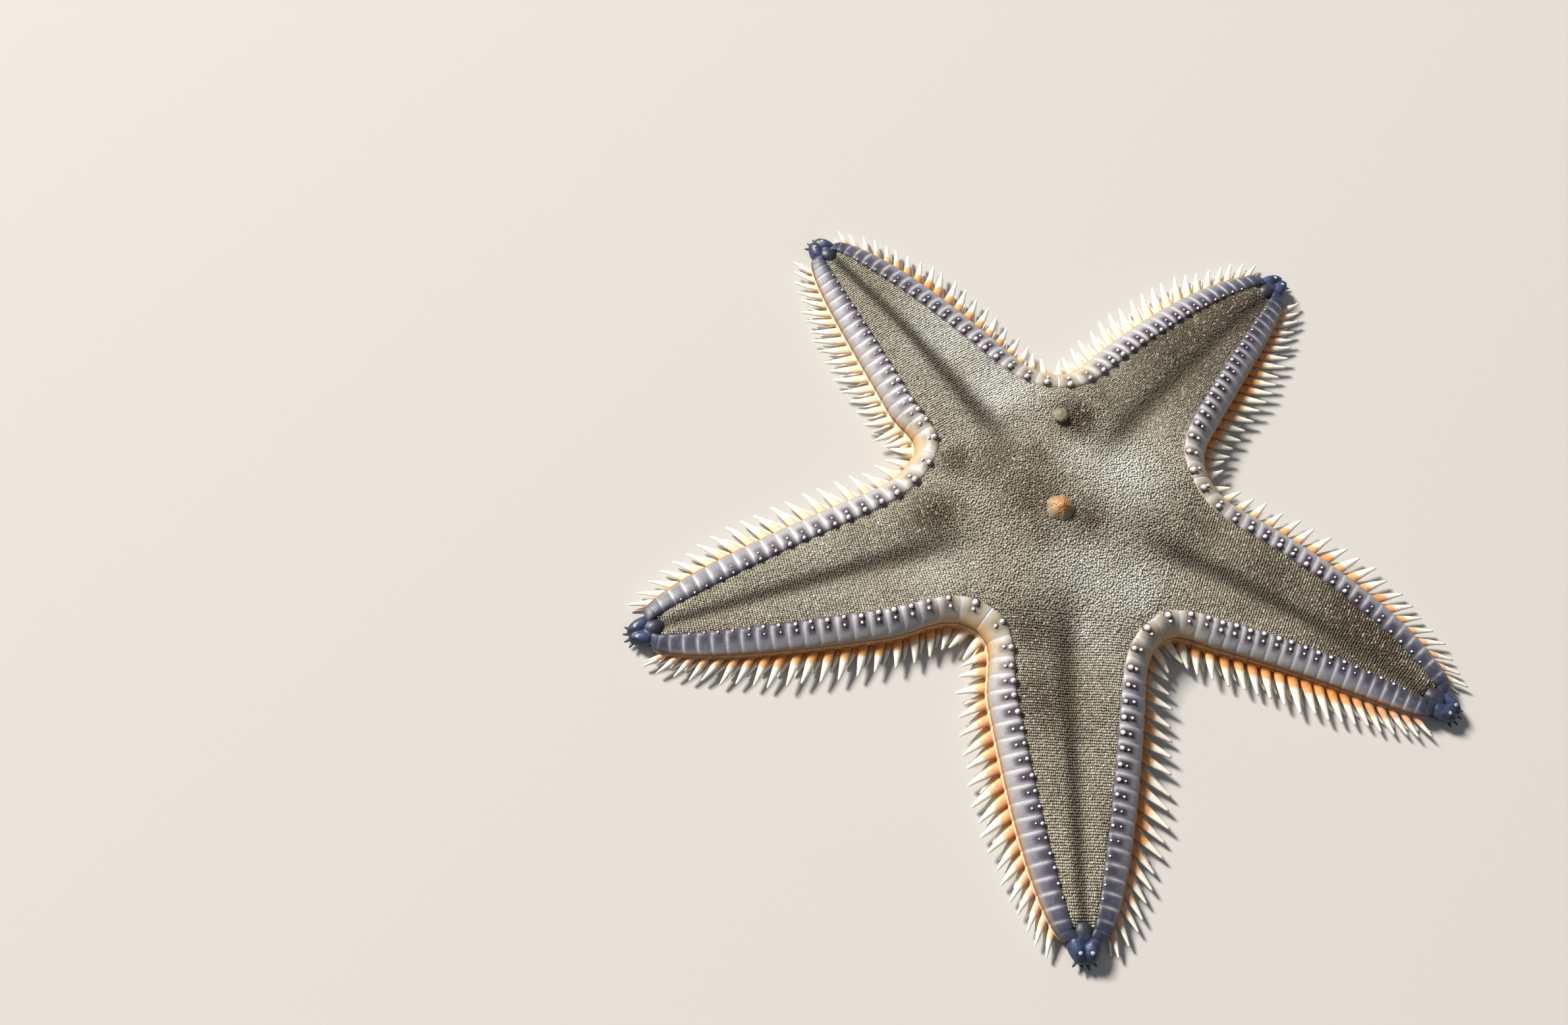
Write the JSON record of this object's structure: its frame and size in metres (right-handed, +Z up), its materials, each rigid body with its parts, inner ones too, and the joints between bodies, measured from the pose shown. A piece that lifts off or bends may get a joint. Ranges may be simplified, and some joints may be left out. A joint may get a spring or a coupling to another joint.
{
  "type": "comb sand starfish",
  "caption": "Life-size comb sand starfish at rest, with a granular grey back, slate marginal plates fringed by orange and white spines, and blue arm tips.",
  "frame": {"origin": "on the ground, under the middle of the whole animal's box", "axes": "+Z up from the ground through the back; +Y away from the arm that points at the viewer; +X to the right"},
  "size_m": [0.0994, 0.0952, 0.0086],
  "materials": {
    "paxillar_skin": "matt, fine limy granules",
    "upper_marginal_plates": "satin limy plates, slate blue to cream",
    "lower_plates_and_spines": "satin limy plates, spines orange with off-white points",
    "oral_plates": "matt cream plates",
    "terminal_plates": "satin deep blue",
    "anal_cone": "soft tan skin",
    "madreporite": "matt, finely grooved"
  },
  "bodies": {
    "root": {"anal_cone": "anal_cone", "arm_1_body": "paxillar_skin", "arm_1_left_lower_plates": "lower_plates_and_spines", "arm_1_left_upper_plates": "upper_marginal_plates", "arm_1_oral": "oral_plates", "arm_1_right_lower_plates": "lower_plates_and_spines", "arm_1_right_upper_plates": "upper_marginal_plates", "arm_1_terminal_plate": "terminal_plates", "arm_2_body": "paxillar_skin", "arm_2_left_lower_plates": "lower_plates_and_spines", "arm_2_left_upper_plates": "upper_marginal_plates", "arm_2_oral": "oral_plates", "arm_2_right_lower_plates": "lower_plates_and_spines", "arm_2_right_upper_plates": "upper_marginal_plates", "arm_2_terminal_plate": "terminal_plates", "arm_3_body": "paxillar_skin", "arm_3_left_lower_plates": "lower_plates_and_spines", "arm_3_left_upper_plates": "upper_marginal_plates", "arm_3_oral": "oral_plates", "arm_3_right_lower_plates": "lower_plates_and_spines", "arm_3_right_upper_plates": "upper_marginal_plates", "arm_3_terminal_plate": "terminal_plates", "arm_4_body": "paxillar_skin", "arm_4_left_lower_plates": "lower_plates_and_spines", "arm_4_left_upper_plates": "upper_marginal_plates", "arm_4_oral": "oral_plates", "arm_4_right_lower_plates": "lower_plates_and_spines", "arm_4_right_upper_plates": "upper_marginal_plates", "arm_4_terminal_plate": "terminal_plates", "arm_5_body": "paxillar_skin", "arm_5_left_lower_plates": "lower_plates_and_spines", "arm_5_left_upper_plates": "upper_marginal_plates", "arm_5_oral": "oral_plates", "arm_5_right_lower_plates": "lower_plates_and_spines", "arm_5_right_upper_plates": "upper_marginal_plates", "arm_5_terminal_plate": "terminal_plates", "disc_body": "paxillar_skin", "madreporite": "madreporite", "mouth_frame": "oral_plates"}
  },
  "joints": []
}
